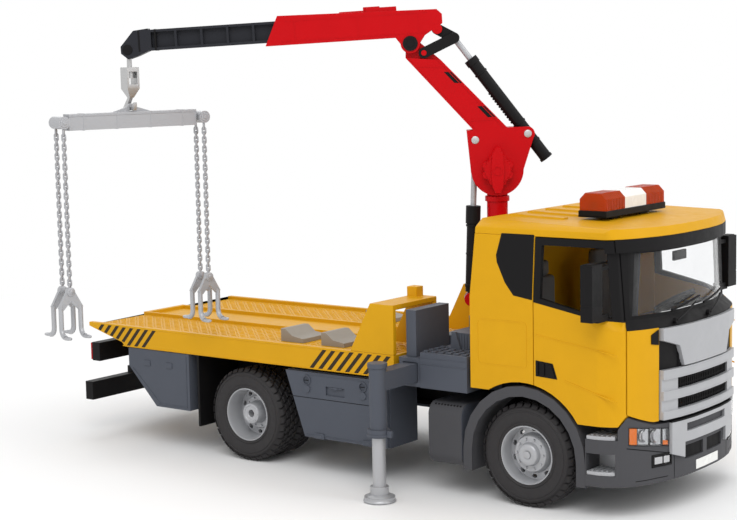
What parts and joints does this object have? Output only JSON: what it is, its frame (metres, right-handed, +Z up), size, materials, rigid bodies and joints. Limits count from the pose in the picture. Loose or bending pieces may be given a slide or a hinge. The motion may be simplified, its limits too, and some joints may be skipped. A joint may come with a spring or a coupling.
{
  "type": "toy tow truck with folding loader crane",
  "caption": "Toy recovery truck on twin rear wheels with a hollow tilting cab, flat deck, folding loader crane, lifting beam and outriggers.",
  "frame": {"origin": "the ground point under the middle of the rear axle", "axes": "+X to the front of the truck, +Y to its left, +Z up"},
  "size_m": [0.4842, 0.3294, 0.3146],
  "materials": {
    "tyre_rubber": "soft black moulded tyre",
    "grey_plastic": "blue-grey moulded plastic, satin",
    "rim_plastic": "light grey moulded plastic",
    "steel": "plain steel rod",
    "black_plastic": "black moulded plastic",
    "yellow_plastic": "golden yellow moulded plastic, glossy",
    "fender_plastic": "dark grey moulded plastic",
    "silver_plastic": "silver-grey moulded plastic",
    "red_plastic": "bright red moulded plastic, glossy",
    "clear_plastic": "clear plastic",
    "amber_plastic": "amber transparent plastic",
    "white_plastic": "white moulded plastic",
    "red_lens": "red transparent plastic"
  },
  "bodies": {
    "chassis": {"chassis_frame": "black_plastic", "axle_beams": "grey_plastic", "engine": "black_plastic", "rear_crossbar": "black_plastic", "rear_lamp_lenses": "red_lens", "load_bed": "yellow_plastic", "wheel_chocks": "grey_plastic", "bed_guards": "yellow_plastic", "toolboxes": "grey_plastic", "side_boxes": "grey_plastic", "rear_mudguards": "black_plastic", "outrigger_housings": "grey_plastic", "crane_base": "grey_plastic", "front_fenders": "fender_plastic", "step_treads": "silver_plastic", "front_bumper": "fender_plastic", "lower_grille": "silver_plastic", "headlights": "clear_plastic"},
    "front_wheels": {"front_tyres": "tyre_rubber", "front_rims": "rim_plastic", "front_axle_shaft": "steel"},
    "rear_wheels": {"rear_tyres": "tyre_rubber", "rear_rims": "rim_plastic", "rear_axle_shaft": "steel"},
    "cab": {"cab_shell": "yellow_plastic", "cab_roof": "yellow_plastic", "windscreen_frame": "black_plastic", "windscreen": "clear_plastic", "grille_back": "black_plastic", "grille_bars": "silver_plastic", "cab_floor": "black_plastic", "seats": "grey_plastic", "light_bar_base": "black_plastic", "light_bar_amber": "amber_plastic", "light_bar_white": "white_plastic"},
    "door_right": {"door_panel_right": "yellow_plastic", "door_frame_right": "black_plastic"},
    "door_left": {"door_panel_left": "yellow_plastic", "door_frame_left": "black_plastic"},
    "toolbox_door_right": {"toolbox_door_right": "grey_plastic"},
    "toolbox_door_left": {"toolbox_door_left": "grey_plastic"},
    "outrigger_right": {"outrigger_arm_right": "grey_plastic"},
    "outrigger_left": {"outrigger_arm_left": "grey_plastic"},
    "leg_right": {"outrigger_leg_right": "silver_plastic"},
    "leg_left": {"outrigger_leg_left": "silver_plastic"},
    "column": {"crane_column": "red_plastic"},
    "main_boom": {"main_boom": "red_plastic"},
    "lift_barrel": {"lift_barrel": "black_plastic"},
    "lift_rod": {"lift_rod": "silver_plastic"},
    "second_boom": {"second_boom": "red_plastic"},
    "extension": {"boom_extension": "grey_plastic"},
    "link_lower": {"link_lower": "black_plastic"},
    "link_upper": {"link_upper": "black_plastic"},
    "fold_barrel": {"fold_barrel": "black_plastic"},
    "fold_rod": {"fold_rod": "silver_plastic"},
    "hook_shank": {"hook_shank": "steel"},
    "harness": {"hook": "steel", "lifting_beam": "silver_plastic", "lifting_chains": "silver_plastic", "wheel_cradles": "silver_plastic"}
  },
  "joints": [
    {"name": "front_wheels_roll", "type": "hinge", "parent": "chassis", "child": "front_wheels", "pos_m": [0.231, 0, 0.033], "axis": [0, 1, 0], "continuous": true},
    {"name": "rear_wheels_roll", "type": "hinge", "parent": "chassis", "child": "rear_wheels", "pos_m": [0, 0, 0.033], "axis": [0, 1, 0], "continuous": true},
    {"name": "cab_tilt", "type": "hinge", "parent": "chassis", "child": "cab", "pos_m": [0.318, 0, 0.059], "axis": [0, 1, 0], "range_deg": [0, 50]},
    {"name": "door_right_open", "type": "hinge", "parent": "cab", "child": "door_right", "pos_m": [0.2985, -0.0725, 0.1], "axis": [0, 0, 1], "range_deg": [0, 60]},
    {"name": "door_left_open", "type": "hinge", "parent": "cab", "child": "door_left", "pos_m": [0.2985, 0.0725, 0.1], "axis": [0, 0, -1], "range_deg": [0, 60]},
    {"name": "toolbox_door_right_open", "type": "hinge", "parent": "chassis", "child": "toolbox_door_right", "pos_m": [0.083, -0.08, 0.0246], "axis": [1, 0, 0], "range_deg": [0, 90]},
    {"name": "toolbox_door_left_open", "type": "hinge", "parent": "chassis", "child": "toolbox_door_left", "pos_m": [0.083, 0.08, 0.0246], "axis": [-1, 0, 0], "range_deg": [0, 90]},
    {"name": "outrigger_right_slide", "type": "slide", "parent": "chassis", "child": "outrigger_right", "axis": [0, -1, 0], "range_m": [-0.024, 0]},
    {"name": "outrigger_left_slide", "type": "slide", "parent": "chassis", "child": "outrigger_left", "axis": [0, 1, 0], "range_m": [-0.024, 0]},
    {"name": "leg_right_slide", "type": "slide", "parent": "outrigger_right", "child": "leg_right", "axis": [0, 0, 1], "range_m": [0, 0.028]},
    {"name": "leg_left_slide", "type": "slide", "parent": "outrigger_left", "child": "leg_left", "axis": [0, 0, 1], "range_m": [0, 0.028]},
    {"name": "crane_slew", "type": "hinge", "parent": "chassis", "child": "column", "pos_m": [0.1628, 0, 0.11], "axis": [0, 0, 1], "continuous": true},
    {"name": "boom_lift", "type": "hinge", "parent": "column", "child": "main_boom", "pos_m": [0.1628, 0, 0.2054], "axis": [-0.5736, 0.8192, 0], "range_deg": [-2, 19]},
    {"name": "lift_barrel_swing", "type": "hinge", "parent": "column", "child": "lift_barrel", "pos_m": [0.14781, -0.0105, 0.118], "axis": [-0.5736, 0.8192, 0], "range_deg": [-12, 12]},
    {"name": "lift_rod_slide", "type": "slide", "parent": "lift_barrel", "child": "lift_rod", "axis": [0.029, 0.0203, 0.9994], "range_m": [-0.02, 0.02]},
    {"name": "boom_fold", "type": "hinge", "parent": "main_boom", "child": "second_boom", "pos_m": [0.11644, -0.03246, 0.29], "axis": [-0.5736, 0.8192, 0], "range_deg": [-2, 12]},
    {"name": "link_lower_swing", "type": "hinge", "parent": "main_boom", "child": "link_lower", "pos_m": [0.12373, -0.02736, 0.2836], "axis": [-0.5736, 0.8192, 0], "range_deg": [-25, 25]},
    {"name": "link_upper_swing", "type": "hinge", "parent": "second_boom", "child": "link_upper", "pos_m": [0.13102, -0.02226, 0.2992], "axis": [-0.5736, 0.8192, 0], "range_deg": [-25, 25]},
    {"name": "fold_barrel_swing", "type": "hinge", "parent": "main_boom", "child": "fold_barrel", "pos_m": [0.17959, 0.01176, 0.2291], "axis": [-0.5736, 0.8192, 0], "range_deg": [-10, 10]},
    {"name": "fold_rod_slide", "type": "slide", "parent": "fold_barrel", "child": "fold_rod", "axis": [-0.4921, -0.3446, 0.7994], "range_m": [-0.02, 0.02]},
    {"name": "boom_extend", "type": "slide", "parent": "second_boom", "child": "extension", "axis": [0.8183, 0.573, 0.0454], "range_m": [-0.008, 0.074]},
    {"name": "hook_swing", "type": "hinge", "parent": "extension", "child": "hook_shank", "pos_m": [-0.03811, -0.14068, 0.28944], "axis": [0.5736, -0.8192, 0], "range_deg": [-20, 36]},
    {"name": "harness_turn", "type": "hinge", "parent": "hook_shank", "child": "harness", "pos_m": [-0.03811, -0.14068, 0.26944], "axis": [0, 0, 1], "continuous": true}
  ],
  "couplings": [
    {"joint": "lift_barrel_swing", "follows": "boom_lift", "ratio": 0.19112},
    {"joint": "lift_rod_slide", "follows": "boom_lift", "m_per_rad": 0.0131},
    {"joint": "link_lower_swing", "follows": "boom_fold", "ratio": 0.92297},
    {"joint": "link_upper_swing", "follows": "boom_fold", "ratio": -0.93961},
    {"joint": "fold_barrel_swing", "follows": "boom_fold", "ratio": -0.07233},
    {"joint": "fold_rod_slide", "follows": "boom_fold", "m_per_rad": -0.01969}
  ]
}
